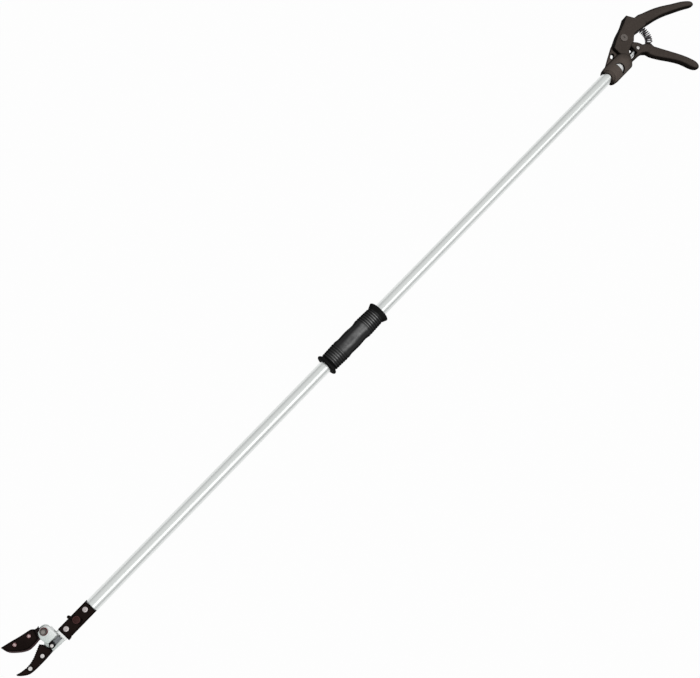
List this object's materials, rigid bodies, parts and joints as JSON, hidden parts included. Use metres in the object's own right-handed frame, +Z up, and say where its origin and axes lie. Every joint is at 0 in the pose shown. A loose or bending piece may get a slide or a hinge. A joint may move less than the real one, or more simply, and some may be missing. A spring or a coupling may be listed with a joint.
{
  "type": "pond shears",
  "caption": "Long pond shears: a squeeze lever in a cast handle pulls a rod through an aluminium tube and closes a curved blade on a hooked jaw",
  "frame": {"origin": "under the middle of the whole tool, at the height of its lowest point", "axes": "+X runs along the tube from the jaws to the handle, +Y is the side that the blade opens to, +Z is up, square to the plane of the jaws"},
  "size_m": [1.6608, 0.165, 0.0396],
  "materials": {
    "aluminium": "satin drawn aluminium",
    "grip_rubber": "matt black rubber",
    "cast_silver": "satin cast aluminium",
    "black_paint": "black powder paint",
    "rivet_steel": "bright plated steel",
    "blade_coating": "dark low friction coating on steel",
    "zinc": "zinc plated steel",
    "red_washer": "dark red washer",
    "button_brown": "red brown plastic",
    "dark_steel": "dark oiled steel",
    "handle_paint": "warm dark grey powder paint on a casting",
    "spring_steel": "bright drawn spring wire"
  },
  "bodies": {
    "frame": {"tube": "aluminium", "mid_grip": "grip_rubber", "tube_block": "cast_silver", "head_bracket": "black_paint", "neck_screw": "rivet_steel", "tube_screw": "rivet_steel", "head_body": "cast_silver", "hook_jaw": "black_paint", "hook_rivet_front": "rivet_steel", "hook_rivet_rear": "rivet_steel", "pivot_bolt": "zinc", "pivot_washer": "red_washer", "pivot_nut": "zinc", "handle_housing": "handle_paint", "trigger_rivet": "dark_steel", "socket_screw": "zinc", "return_spring": "spring_steel"},
    "trigger": {"trigger_lever": "handle_paint", "rod_pin": "rivet_steel"},
    "pull_rod": {"pull_rod": "zinc", "rod_eye": "zinc", "lock_nut": "zinc", "adjusting_nut": "zinc", "rod_collar": "dark_steel", "blade_clevis": "dark_steel", "blade_pin": "rivet_steel", "blade_pin_clip": "dark_steel"},
    "blade": {"cutting_blade": "blade_coating", "blade_holder": "black_paint", "blade_rivet_front": "rivet_steel", "blade_rivet_rear": "rivet_steel", "hub_washer": "zinc"},
    "lock": {"lock_lever": "black_paint", "lock_button": "button_brown", "lock_catch": "dark_steel"}
  },
  "joints": [
    {"name": "trigger_squeeze", "type": "hinge", "parent": "frame", "child": "trigger", "pos_m": [0.66564, 0.05639, 0.0198], "axis": [0, 0, 1], "range_deg": [0, 32], "stiffness_Nm_per_rad": 1.2, "springref_deg": -17.19, "deforming": ["return_spring"]},
    {"name": "rod_swing", "type": "hinge", "parent": "trigger", "child": "pull_rod", "pos_m": [0.67465, 0.02496, 0.0198], "axis": [0, 0, 1], "range_deg": [-32, 0]},
    {"name": "blade_close", "type": "hinge", "parent": "frame", "child": "blade", "pos_m": [-0.75886, 0.05149, 0.0198], "axis": [0, 0, 1], "range_deg": [0, 37.2]},
    {"name": "lock_turn", "type": "hinge", "parent": "frame", "child": "lock", "pos_m": [-0.71386, 0.02889, 0.0198], "axis": [0, 0, 1], "range_deg": [0, 90]}
  ],
  "couplings": [
    {"joint": "rod_swing", "follows": "trigger_squeeze", "ratio": -0.98883},
    {"joint": "blade_close", "follows": "trigger_squeeze", "ratio": 1.16}
  ]
}
